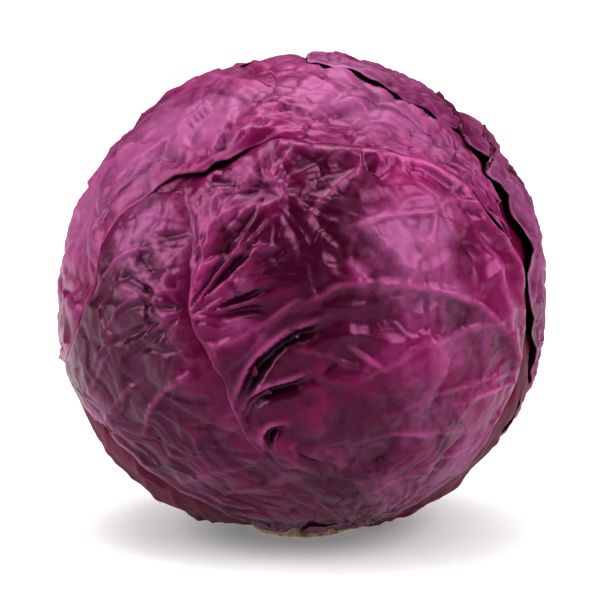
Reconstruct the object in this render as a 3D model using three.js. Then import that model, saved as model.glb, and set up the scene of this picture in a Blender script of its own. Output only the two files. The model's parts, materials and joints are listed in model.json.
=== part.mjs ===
// Red cabbage head standing on its cut stem.
//
// Millimetres, +Z up. The origin is the centre of the stem's cut face, and the side with the
// puckered front leaf faces -Y. Every leaf is its own closed shell, wrapped over the ones before it.
import * as THREE from 'three';
import { mergeVertices } from 'three/addons/utils/BufferGeometryUtils.js';

// Head.
const centreHeight = 73; // middle of the ball above the cut face
const depthRadius = 75; // front and back
// Radius of the lopsided ball seen from the front, every 30 degrees round from +X towards +Z.
const frontRadii = [75.2, 74.8, 73.9, 73.8, 73.4, 73.1, 74.8, 77.2, 76.0, 71.6, 75.0, 74.4];
const wrapDepth = 4.2; // room that the loose leaves take outside the tightly packed inner head
const headDetail = 7; // icosahedron subdivisions of the inner head

// Leaves.
const leafThickness = 1.1;
const leafGap = 0.75; // air between two leaves
const marginThinning = 0.35; // how much thinner the blade is at its margin
const coverReach = 5; // degrees past a margin that the leaf above still clears in full
const coverFade = 13; // degrees past a margin where the leaf above has come down again
const leafReach = 72; // degrees below level where the leaf bases meet the stem
const cellDegrees = 7; // size of a leaf's facets
const outlineSamples = 64; // steps along a margin for distances to it

// Stem.
const stemFaceRadius = 15.8;
const stemNeckRadius = 17.1;
const stemHeight = 5; // it ends just under the inner head
const stemChamfer = 0.5;
const stemSegments = 48;

const radians = THREE.MathUtils.degToRad;
const degrees = THREE.MathUtils.radToDeg;

// A direction from the middle of the head: azimuth 0 is the front, +90 is +X; elevation 90 is up.
function direction([azimuth, elevation]) {
  const level = Math.cos(radians(elevation));
  return new THREE.Vector3(
    Math.sin(radians(azimuth)) * level,
    -Math.cos(radians(azimuth)) * level,
    Math.sin(radians(elevation)),
  );
}

// Cubic through evenly spaced values that close on themselves.
function periodic(values, turn) {
  const count = values.length;
  const place = THREE.MathUtils.euclideanModulo(turn, 1) * count;
  const at = (step) => values[THREE.MathUtils.euclideanModulo(Math.floor(place) + step, count)];
  const t = place - Math.floor(place);
  const slopeIn = (at(1) - at(-1)) / 2;
  const slopeOut = (at(2) - at(0)) / 2;
  const rise = at(1) - at(0);
  const square = 3 * rise - 2 * slopeIn - slopeOut;
  const cube = slopeIn + slopeOut - 2 * rise;
  return at(0) + t * (slopeIn + t * (square + t * cube));
}

// Radius of the finished head, leaves and all.
function headRadius(dir) {
  const turn = Math.atan2(dir.z, dir.x) / (2 * Math.PI);
  const facing = dir.x * dir.x + dir.z * dir.z;
  return THREE.MathUtils.lerp(depthRadius, periodic(frontRadii, turn), facing);
}

const innerHeadRadius = (dir) => headRadius(dir) - wrapDepth;

// Each leaf has two margins, from its base at the stem to its tip, as azimuth and elevation.
// lift raises the margin on one side, or at the tip, off the leaf below.
const leafPlans = [
  {
    name: 'left_under_leaf',
    colour: 0x681339,
    from: [[-112, -leafReach], [-124, -55], [-136, -25], [-130, 5], [-112, 28], [-94, 42]],
    to: [[-50, -leafReach], [-32, -62], [-15, -38], [-18, -8], [-40, 20], [-68, 42]],
  },
  {
    name: 'right_under_leaf',
    colour: 0x8f2f63,
    from: [[47, -leafReach], [30, -62], [12, -40], [14, -8], [35, 22], [62, 44]],
    to: [[106, -leafReach], [118, -58], [131, -28], [127, 5], [110, 30], [88, 46]],
  },
  {
    name: 'left_leaf',
    colour: 0x733a5d,
    from: [
      [-38, -leafReach], [-28, -58], [-34, -47], [-45, -39], [-53, -31], [-60, -25],
      [-71, -22], [-82, -14], [-84, 0], [-78, 16], [-66, 33],
    ],
    to: [
      [16, -leafReach], [22, -59], [10, -42], [1, -28], [-6, -16], [-12, -4],
      [-16, 8], [-18, 22], [-24, 34], [-34, 44],
    ],
  },
  {
    name: 'front_leaf',
    colour: 0x84315c,
    from: [
      [9, -leafReach], [15, -59], [3, -44], [-7, -31], [-14, -20], [-18, -9],
      [-25, 3], [-27, 18], [-30, 32], [-22, 47],
    ],
    to: [
      [51, -leafReach], [46, -58], [54, -43], [58, -30], [60, -17], [61, -4],
      [59, 9], [54, 18], [48, 27], [40, 46],
    ],
    lift: { side: 'from', height: 0.5 },
  },
  {
    name: 'top_leaf',
    colour: 0x9d517d,
    from: [
      [-150, -leafReach], [-154, -50], [-157, -25], [-160, 0], [-165, 25], [-175, 50],
      [150, 68], [100, 66], [72, 55], [60, 42], [53, 32],
    ],
    to: [
      [-97, -leafReach], [-97, -50], [-95, -30], [-87, -16], [-72, -11], [-61, -4], [-54, 8],
      [-53, 20], [-43, 29], [-31, 35], [-20, 41], [-10, 46], [8, 43.5], [22, 41], [36, 36], [47, 28],
    ],
    lift: { side: 'to', height: 0.4 },
  },
  {
    name: 'back_leaf',
    colour: 0x8a4570,
    from: [[152, -leafReach], [150, -55], [146, -30], [145, 0], [148, 30], [150, 55], [165, 80]],
    to: [[-149, -leafReach], [-138, -55], [-123, -30], [-118, 0], [-121, 30], [-122, 52], [-114, 71]],
    lift: { side: 'tip', height: 1.0 },
  },
  {
    name: 'ruffled_leaf',
    colour: 0x99577b,
    from: [
      [92, -leafReach], [90, -52], [85, -32], [77, -17], [68, -6], [61, 3], [62, 12], [62, 24],
      [59, 33], [61, 44], [55, 51], [47, 58], [37, 66], [24, 71], [6, 81],
    ],
    to: [[153, -leafReach], [156, -54], [162, -30], [169, -5], [173, 24], [176, 52], [178, 78]],
    lift: { side: 'from', height: 1.6 },
  },
  {
    name: 'leaf_stub',
    colour: 0xb0658b,
    from: [[-4, -leafReach], [0, -68], [6, -63]],
    to: [[16, -leafReach], [16, -68], [11, -63]],
  },
];

// A margin as a smooth curve of directions.
function marginCurve(points) {
  return new THREE.CatmullRomCurve3(points.map(direction), false, 'centripetal');
}

// The direction a share of the way along the great circle from one direction to another.
function between(start, end, share) {
  const angle = start.angleTo(end);
  const back = Math.sin((1 - share) * angle) / Math.sin(angle);
  const ahead = Math.sin(share * angle) / Math.sin(angle);
  return start.clone().multiplyScalar(back).addScaledVector(end, ahead).normalize();
}

// A leaf's plan as functions: directions over the blade, and degrees past its outline.
class Leaf {
  constructor(plan) {
    Object.assign(this, plan);
    this.near = marginCurve(plan.from);
    this.far = marginCurve(plan.to);
    this.middle = this.at(0.5, 0.5);
    this.east = new THREE.Vector3(0, 0, 1).cross(this.middle).normalize();
    this.north = this.middle.clone().cross(this.east);
    this.outline = this.outlineDirections().map((dir) => this.flat(dir));
  }

  // along runs from base to tip, across from the near margin to the far one.
  at(along, across) {
    const start = this.near.getPointAt(along).normalize();
    const end = this.far.getPointAt(along).normalize();
    return between(start, end, across);
  }

  outlineDirections() {
    const steps = [...Array(outlineSamples).keys()].map((step) => step / outlineSamples);
    return [
      ...steps.map((s) => this.at(s, 0)),
      ...steps.map((s) => this.at(1, s)),
      ...steps.map((s) => this.at(1 - s, 1)),
      ...steps.map((s) => this.at(0, 1 - s)),
    ];
  }

  // A map of the head centred on the leaf, in degrees of arc.
  flat(dir) {
    const arc = degrees(dir.angleTo(this.middle));
    const bearing = Math.atan2(dir.dot(this.north), dir.dot(this.east));
    return new THREE.Vector2(arc * Math.cos(bearing), arc * Math.sin(bearing));
  }

  // Degrees from the outline: positive outside the leaf, negative on its blade.
  past(dir) {
    const point = this.flat(dir);
    let nearest = Infinity;
    let inside = false;
    this.outline.forEach((start, index) => {
      const end = this.outline[(index + 1) % this.outline.length];
      const edge = end.clone().sub(start);
      const offset = point.clone().sub(start);
      const share = THREE.MathUtils.clamp(offset.dot(edge) / Math.max(edge.lengthSq(), 1e-9), 0, 1);
      nearest = Math.min(nearest, offset.addScaledVector(edge, -share).length());
      const crosses = start.y > point.y !== end.y > point.y;
      if (crosses && point.x < start.x + (edge.x * (point.y - start.y)) / edge.y) inside = !inside;
    });
    return inside ? -nearest : nearest;
  }

  // 1 on the blade and just past it, falling to 0 further out.
  cover(dir) {
    return 1 - THREE.MathUtils.smoothstep(this.past(dir), coverReach, coverFade);
  }

  // How far the leaf stands off what is below it, beyond the usual gap.
  raised(along, across) {
    if (!this.lift) return 0;
    const towards = { from: 1 - across, to: across, tip: along }[this.lift.side];
    const smooth = THREE.MathUtils.smoothstep;
    const midLeaf = this.lift.side === 'tip' ? 1 : smooth(along, 0, 0.4) * smooth(1 - along, 0, 0.25);
    return this.lift.height * smooth(towards, 0.6, 1) * midLeaf;
  }
}

const leaves = leafPlans.map((plan) => new Leaf(plan));

// Radius of everything inside the given leaf. A lifted margin counts in full along the whole leaf.
function radiusBelow(leafIndex, dir) {
  return leaves.slice(0, leafIndex).reduce((radius, leaf) => {
    const height = leafGap + leafThickness + (leaf.lift?.height ?? 0);
    return radius + leaf.cover(dir) * height;
  }, innerHeadRadius(dir));
}

// Number of facets for a stretch of so many degrees.
const cellsFor = (arc) => Math.max(2, Math.round(arc / cellDegrees));

// One leaf: a grid of cells on its inner face, the same on its outer face, and a rim between them.
function leafGeometry(leaf, leafIndex) {
  const widths = [0.25, 0.5, 0.75].map((s) => degrees(leaf.at(s, 0).angleTo(leaf.at(s, 1))));
  const rows = cellsFor(degrees(Math.max(leaf.near.getLength(), leaf.far.getLength())));
  const columns = cellsFor(Math.max(...widths));
  const inner = [];
  const outer = [];
  for (let row = 0; row <= rows; row += 1) {
    for (let column = 0; column <= columns; column += 1) {
      const along = row / rows;
      const across = column / columns;
      const dir = leaf.at(along, across);
      const base = radiusBelow(leafIndex, dir) + leafGap + leaf.raised(along, across);
      const onMargin = row === 0 || row === rows || column === 0 || column === columns;
      const thickness = leafThickness - (onMargin ? marginThinning : 0);
      inner.push(dir.clone().multiplyScalar(base));
      outer.push(dir.clone().multiplyScalar(base + thickness));
    }
  }
  const vertices = [...outer, ...inner];
  const place = (row, column) => row * (columns + 1) + column;
  const faces = [];
  const quad = (a, b, c, d) => faces.push(a, b, c, a, c, d);
  const below = outer.length;
  for (let row = 0; row < rows; row += 1) {
    for (let column = 0; column < columns; column += 1) {
      const here = place(row, column);
      const next = place(row + 1, column);
      const corners = [here, here + 1, next + 1, next];
      quad(...corners);
      quad(...corners.map((corner) => corner + below).reverse());
    }
  }
  const wall = (a, b) => quad(b, a, a + below, b + below);
  for (let column = 0; column < columns; column += 1) {
    wall(place(0, column), place(0, column + 1));
    wall(place(rows, column + 1), place(rows, column));
  }
  for (let row = 0; row < rows; row += 1) {
    wall(place(row + 1, 0), place(row, 0));
    wall(place(row, columns), place(row + 1, columns));
  }
  const geometry = new THREE.BufferGeometry().setFromPoints(vertices);
  geometry.setIndex(faces);
  geometry.computeVertexNormals();
  return geometry;
}

// The tightly packed leaves inside, as one ball.
function innerHeadGeometry() {
  const ball = new THREE.IcosahedronGeometry(1, headDetail);
  ball.deleteAttribute('normal');
  ball.deleteAttribute('uv');
  const geometry = mergeVertices(ball);
  const position = geometry.getAttribute('position');
  const dir = new THREE.Vector3();
  for (let index = 0; index < position.count; index += 1) {
    dir.fromBufferAttribute(position, index).normalize();
    dir.multiplyScalar(innerHeadRadius(dir));
    position.setXYZ(index, dir.x, dir.y, dir.z);
  }
  geometry.computeVertexNormals();
  return geometry;
}

// The cut stem: a flat face to stand on, widening into the head.
function stemGeometry() {
  const profile = [
    [0, 0],
    [stemFaceRadius - stemChamfer, 0],
    [stemFaceRadius, stemChamfer],
    [stemNeckRadius, stemHeight],
    [0, stemHeight],
  ].map(([radius, height]) => new THREE.Vector2(radius, height));
  return new THREE.LatheGeometry(profile, stemSegments).rotateX(Math.PI / 2);
}

function piece(name, geometry, colour, roughness) {
  const material = new THREE.MeshStandardMaterial({ color: colour, roughness, metalness: 0 });
  const mesh = new THREE.Mesh(geometry, material);
  mesh.name = name;
  return mesh;
}

const head = new THREE.Group();
head.position.z = centreHeight;
head.add(piece('inner_head', innerHeadGeometry(), 0x4a0a28, 0.5));
leaves.forEach((leaf, index) => head.add(piece(leaf.name, leafGeometry(leaf, index), leaf.colour, 0.42)));

const cabbage = new THREE.Group();
cabbage.add(piece('stem', stemGeometry(), 0xa58a6e, 0.8));
cabbage.add(head);

export default cabbage;
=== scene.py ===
import json
import math

import bpy
import numpy as np
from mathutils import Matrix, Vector


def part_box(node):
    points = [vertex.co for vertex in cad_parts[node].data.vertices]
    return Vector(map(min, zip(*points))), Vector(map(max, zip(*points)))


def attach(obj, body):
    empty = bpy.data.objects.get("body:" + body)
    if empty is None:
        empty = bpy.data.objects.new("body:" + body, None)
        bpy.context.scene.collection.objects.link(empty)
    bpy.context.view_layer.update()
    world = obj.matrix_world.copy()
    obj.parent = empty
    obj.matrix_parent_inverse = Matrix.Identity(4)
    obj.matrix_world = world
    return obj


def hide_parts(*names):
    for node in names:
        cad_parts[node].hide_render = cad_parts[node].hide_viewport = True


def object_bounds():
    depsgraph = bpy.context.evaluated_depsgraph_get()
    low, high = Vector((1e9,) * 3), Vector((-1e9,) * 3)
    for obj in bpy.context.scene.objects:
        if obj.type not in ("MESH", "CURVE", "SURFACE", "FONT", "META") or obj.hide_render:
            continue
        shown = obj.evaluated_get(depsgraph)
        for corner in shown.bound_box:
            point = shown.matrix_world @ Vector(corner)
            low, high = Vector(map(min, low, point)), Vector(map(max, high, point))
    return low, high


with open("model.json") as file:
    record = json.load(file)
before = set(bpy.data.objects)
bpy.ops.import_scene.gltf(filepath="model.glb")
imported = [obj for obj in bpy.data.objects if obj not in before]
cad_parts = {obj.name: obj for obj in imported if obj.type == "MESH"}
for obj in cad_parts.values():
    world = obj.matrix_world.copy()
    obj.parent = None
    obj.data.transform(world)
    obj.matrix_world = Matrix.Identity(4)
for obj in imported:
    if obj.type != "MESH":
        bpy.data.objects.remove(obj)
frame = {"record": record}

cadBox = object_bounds()

# Directions over the head are azimuth and elevation in degrees from its middle: azimuth 0 is the front
# (-Y), +90 is the right (+X), elevation 90 is the top. Lengths are millimetres until a mesh is filled.
mm = 0.001
headShape = {
    "depthRadius": 75.0,
    # Radii of the front outline, every 30 degrees from the right, going over the top.
    "frontRadii": [75.2, 74.8, 73.9, 73.8, 73.4, 73.1, 74.8, 77.2, 76.0, 71.6, 75.0, 74.4],
    "innerDrop": 4.2,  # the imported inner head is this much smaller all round
    "keepInside": 0.25,  # room left between the leaves and the part's own box
    "easeOver": 1.2,  # bumps are eased back over this depth below that
}
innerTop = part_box("inner_head")[1][2] / mm
headShape["centreHeight"] = innerTop - headShape["frontRadii"][3] + headShape["innerDrop"]


def smoothstep(values, low, high):
    share = np.clip((values - low) / (high - low), 0.0, 1.0)
    return share * share * (3.0 - 2.0 * share)


def directions(points):
    angles = np.radians(np.asarray(points, float))
    azimuth, elevation = angles[:, 0], angles[:, 1]
    level = np.cos(elevation)
    return np.stack([np.sin(azimuth) * level, -np.cos(azimuth) * level, np.sin(elevation)], 1)


def unit(vectors):
    return vectors / np.linalg.norm(vectors, axis=-1, keepdims=True)


def headRadius(dirs):
    radii = np.array(headShape["frontRadii"])
    place = (np.arctan2(dirs[:, 2], dirs[:, 0]) / (2 * math.pi) % 1.0) * len(radii)
    first = np.floor(place).astype(int)
    t = place - first
    at = [radii[(first + step) % len(radii)] for step in (-1, 0, 1, 2)]
    slopeIn, slopeOut, rise = (at[2] - at[0]) / 2, (at[3] - at[1]) / 2, at[2] - at[1]
    square, cube = 3 * rise - 2 * slopeIn - slopeOut, slopeIn + slopeOut - 2 * rise
    profile = at[1] + t * (slopeIn + t * (square + t * cube))
    facing = dirs[:, 0] ** 2 + dirs[:, 2] ** 2
    return headShape["depthRadius"] + (profile - headShape["depthRadius"]) * facing


def lineThrough(points, count=240):  # a smooth curve of directions through the points
    dirs = directions(points)
    ends = np.vstack([2 * dirs[0] - dirs[1], dirs, 2 * dirs[-1] - dirs[-2]])
    steps = np.linspace(0, len(dirs) - 1, count)
    first = np.minimum(steps.astype(int), len(dirs) - 2)
    t = (steps - first)[:, None]
    a, b, c, d = (ends[first + step] for step in range(4))
    square, cube = 2 * a - 5 * b + 4 * c - d, 3 * b - a - 3 * c + d
    return unit(0.5 * (2 * b + (c - a) * t + square * t**2 + cube * t**3))


def lengthOf(line):  # millimetres over the head
    return np.linalg.norm(np.diff(line, axis=0), axis=1).sum() * headShape["depthRadius"]


def evenly(line, shares):
    travelled = np.concatenate([[0], np.cumsum(np.linalg.norm(np.diff(line, axis=0), axis=1))])
    places = shares * travelled[-1]
    return unit(np.stack([np.interp(places, travelled, line[:, axis]) for axis in range(3)], -1))


def greatCircle(start, end, share):
    angle = np.arccos(np.clip((start * end).sum(-1, keepdims=True), -1, 1))
    angle = np.maximum(angle, 1e-6)
    share = share[..., None]
    return (np.sin((1 - share) * angle) * start + np.sin(share * angle) * end) / np.sin(angle)


# Noise. One block of seeded numbers serves every pattern.
lattice = np.random.default_rng(11).random((32, 32, 32, 3))


def softNoise(points, channel=0):  # -1 to 1, one wave per unit
    cell = np.floor(points).astype(int)
    t = points - cell
    t = t * t * t * (t * (t * 6 - 15) + 10)
    total = 0.0
    for corner in np.ndindex(2, 2, 2):
        weight = np.prod(np.where(np.array(corner), t, 1 - t), axis=1)
        index = (cell + corner) % 32
        total = total + weight * lattice[index[:, 0], index[:, 1], index[:, 2], channel]
    return total * 2 - 1


def layeredNoise(points, octaves=3, channel=0):
    layers = [softNoise(points * 2.03**n + 7.3 * n, channel) * 0.5**n for n in range(octaves)]
    return sum(layers)


def panels(flat, seed):  # distance to the nearest crease, a height for each panel and its tilt
    cell = np.floor(flat).astype(int)
    nearest = np.full(len(flat), 9.0)
    second = np.full(len(flat), 9.0)
    offset = np.zeros((len(flat), 2))
    own = np.zeros((len(flat), 3))
    for step in np.ndindex(3, 3):
        site = cell + np.array(step) - 1
        random = lattice[site[:, 0] % 32, site[:, 1] % 32, seed % 32]
        away = site + 0.15 + 0.7 * random[:, :2] - flat
        distance = np.linalg.norm(away, axis=1)
        closer = distance < nearest
        second = np.where(closer, nearest, np.minimum(second, distance))
        nearest = np.where(closer, distance, nearest)
        offset = np.where(closer[:, None], away, offset)
        own = np.where(closer[:, None], random, own)
    tilt = ((own[:, 1:] - 0.5) * offset).sum(1) * 2
    return second - nearest, own[:, 0] - 0.5, tilt


def distanceTo(dirs, line):  # millimetres over the head to a line of directions, and the share along it
    best = np.full(len(dirs), 1.0)
    share = np.zeros(len(dirs))
    count = len(line) - 1
    for index in range(count):
        start, edge = line[index], line[index + 1] - line[index]
        offset = dirs - start
        close = np.flatnonzero((offset * offset).sum(1) < 0.025)  # only what lies within about 12 mm
        offset = offset[close]
        along = np.clip((offset @ edge) / max(edge @ edge, 1e-12), 0, 1)
        distance = np.linalg.norm(offset - along[:, None] * edge, axis=1)
        closer = distance < best[close]
        best[close[closer]] = distance[closer]
        share[close[closer]] = (index + along[closer]) / count
    return best * headShape["depthRadius"], share


# Leaves. near and far are a leaf's two margins from its base at the stem to its tip, near being the left
# one for someone facing it. They follow the part's leaves, with the small waves of the real margins.
leafPlans = {
    "left_under_leaf": {
        "near": [(-112, -78), (-124, -55), (-136, -25), (-130, 5), (-112, 28), (-94, 42)],
        "far": [(-50, -78), (-32, -62), (-15, -38), (-18, -8), (-40, 20), (-68, 42)],
    },
    "right_under_leaf": {
        "near": [(47, -78), (30, -62), (12, -40), (14, -8), (35, 22), (62, 44)],
        "far": [(106, -78), (118, -58), (131, -28), (127, 5), (110, 30), (88, 46)],
    },
    "left_leaf": {
        "near": [(-38, -78), (-27, -60), (-28, -54), (-34, -47), (-39, -43), (-45, -39.5), (-49, -35),
                 (-54, -30), (-58, -26), (-66, -24), (-74, -20), (-82, -14), (-84, 0), (-78, 16),
                 (-66, 33)],
        "far": [(16, -78), (22, -59), (10, -42), (1, -28), (-6, -16), (-12, -4), (-16, 8), (-18, 22),
                (-24, 34), (-34, 44)],
    },
    "front_leaf": {
        "near": [(9, -78), (17, -60), (10, -52), (3, -44), (-4, -36), (-8, -30), (-12, -25), (-14, -20),
                 (-16, -15), (-17, -11), (-21, -4), (-24, 0), (-25, 4), (-26, 12), (-26, 17), (-27, 23),
                 (-31, 29), (-32, 34), (-22, 47)],
        "far": [(51, -78), (46, -60), (48, -51), (54, -43), (57, -36), (58, -30), (60, -23), (60, -16),
                (60, -8), (60, 0), (59, 8), (55, 17), (48, 26), (40, 46)],
    },
    "top_leaf": {
        "near": [(-150, -78), (-154, -50), (-157, -25), (-160, 0), (-165, 25), (-175, 50), (150, 68),
                 (100, 66), (72, 55), (62, 42), (58, 30), (57, 19)],
        "far": [(-97, -78), (-97, -50), (-95, -30), (-87, -16), (-72, -12), (-61, -4), (-57, 3),
                (-54, 9), (-54, 17), (-52, 22), (-48, 26), (-43, 29), (-38, 33.5), (-31, 35),
                (-27, 35.5), (-24, 38), (-20, 40), (-16, 41.5), (-12, 43), (-8, 44), (-4, 43.5),
                (3, 42.5), (14, 42), (24, 40.5), (34, 37), (42, 32.5), (48, 27), (55, 17)],
    },
    "back_leaf": {
        "near": [(152, -78), (150, -55), (146, -30), (145, 0), (148, 30), (150, 55), (165, 80)],
        "far": [(-149, -78), (-138, -55), (-125, -38), (-121, -22), (-119, -5), (-117, 10), (-120, 26),
                (-119, 40), (-123, 54), (-114, 71)],
    },
    "ruffled_leaf": {
        "near": [(92, -78), (90, -58), (89, -47), (84, -34), (82, -26), (76, -16), (72, -11), (65, -4),
                 (61, 1), (60, 5), (63, 10), (65, 15), (61, 22), (63, 28), (58, 33), (65, 36), (58, 41),
                 (63, 45), (56, 49), (54, 54), (46, 57), (42, 62), (36, 65), (33, 69), (22, 71),
                 (12, 76), (6, 81)],
        "far": [(153, -78), (157, -58), (159, -42), (165, -28), (166, -12), (171, 2), (170, 18),
                (175, 32), (174, 48), (178, 62), (178, 78)],
    },
    "leaf_stub": {
        "near": [(-4, -78), (-1, -70), (3, -64)],
        "far": [(16, -78), (16, -70), (11, -64)],
    },
}
stackOrder = list(leafPlans)  # each leaf lies over the ones before it
marginWaves = {"perRadius": 11, "octaves": 4, "sway": 0.011, "steps": 400}  # sway is a share of it
outlineSteps = 40


def flatMap(dirs, centre):  # degrees from the centre, to its east and its north
    east = unit(np.cross([0, 0, 1], centre))
    north = np.cross(centre, east)
    arc = np.degrees(np.arccos(np.clip(dirs @ centre, -1, 1)))
    bearing = np.arctan2(dirs @ north, dirs @ east)
    return np.stack([arc * np.cos(bearing), arc * np.sin(bearing)], -1)


def onLeaf(plan, along, across):
    return unit(greatCircle(evenly(plan["nearLine"], along), evenly(plan["farLine"], along), across))


def prepareLeaf(plan, seed):
    for side in ("near", "far"):
        line = lineThrough(plan[side], marginWaves["steps"])
        shares = np.linspace(0, 1, len(line))
        across = unit(np.cross(line, np.gradient(line, axis=0)))
        waves = layeredNoise(line * marginWaves["perRadius"] + seed, marginWaves["octaves"])
        sway = marginWaves["sway"] * waves * smoothstep(shares, 0, 0.1)
        plan[side + "Line"] = unit(line + sway[:, None] * across)
    steps = np.arange(outlineSteps) / outlineSteps
    zeros, ones = np.zeros(outlineSteps), np.ones(outlineSteps)
    walk = [(steps, zeros), (ones, steps), (1 - steps, ones), (zeros, 1 - steps)]
    ring = np.vstack([onLeaf(plan, along, across) for along, across in walk])
    plan["centre"] = onLeaf(plan, np.array([0.5]), np.array([0.5]))[0]
    plan["outline"] = flatMap(ring, plan["centre"])
    middle = onLeaf(plan, np.full(9, 0.5), np.linspace(0, 1, 9))
    near, far, plan["width"] = (lengthOf(line) for line in (plan["nearLine"], plan["farLine"], middle))
    plan["length"] = max(near, far)


def pastOutline(dirs, plan):  # degrees outside a leaf's outline, negative on its blade
    points = flatMap(dirs, plan["centre"])
    nearest = np.full(len(points), 999.0)
    inside = np.zeros(len(points), bool)
    for start, end in zip(plan["outline"], np.roll(plan["outline"], -1, axis=0)):
        edge, offset = end - start, points - start
        share = np.clip(offset @ edge / max(edge @ edge, 1e-9), 0, 1)
        nearest = np.minimum(nearest, np.linalg.norm(offset - share[:, None] * edge, axis=1))
        crosses = (start[1] > points[:, 1]) != (end[1] > points[:, 1])
        if edge[1]:
            inside ^= crosses & (points[:, 0] < start[0] + edge[0] * offset[:, 1] / edge[1])
    return np.where(inside, -nearest, nearest)


# What each kind of line does to the blade: its height and half width, and how strongly it shows pale.
veinKinds = {
    "crest": {"height": 0.2, "width": 1.2, "pale": 0.6, "paleWidth": 1.1},
    "fold": {"height": 1.4, "width": 1.5, "pale": 0.42, "paleWidth": 0.9, "drop": 1.1, "reach": 9},
    "vein": {"height": 1.0, "width": 1.0, "pale": 0.36, "paleWidth": 0.75},
    "fine": {"height": 0.65, "width": 0.9, "pale": 0.2, "paleWidth": 0.75},
    # A glint line is a raised crest painted pale: a painted highlight.
    "glint": {"height": 0.9, "width": 0.8, "pale": 0.6, "paleWidth": 0.65},
    # A crease's negative pale darkens it in colour: painted shade in the groove.
    "crease": {"height": -0.9, "width": 0.9, "pale": -0.8, "paleWidth": 0.8},
    "rib": {"height": 1.3, "width": 3.4, "pale": 0.4, "paleWidth": 2.4},
    "branch": {"height": 0.7, "width": 1.4, "pale": 0.26, "paleWidth": 1.0},
}

# The raised crest over the front of the head, which the leaves below and above it share.
crest = {
    "height": 1.8, "width": 3.4,
    "lines": [
        [(-5, 42), (-2, 42), (3, 41), (14, 41), (23, 40), (29, 38), (35, 36), (43, 31), (45, 29),
         (47, 25), (54, 17), (56, 14), (58, 9), (58, 5), (58, 1)],
        [(45, 20), (48, 14), (49, 7), (51, 0), (54, -6), (57, -10), (58, -16), (58, -24)],
    ],
}
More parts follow.
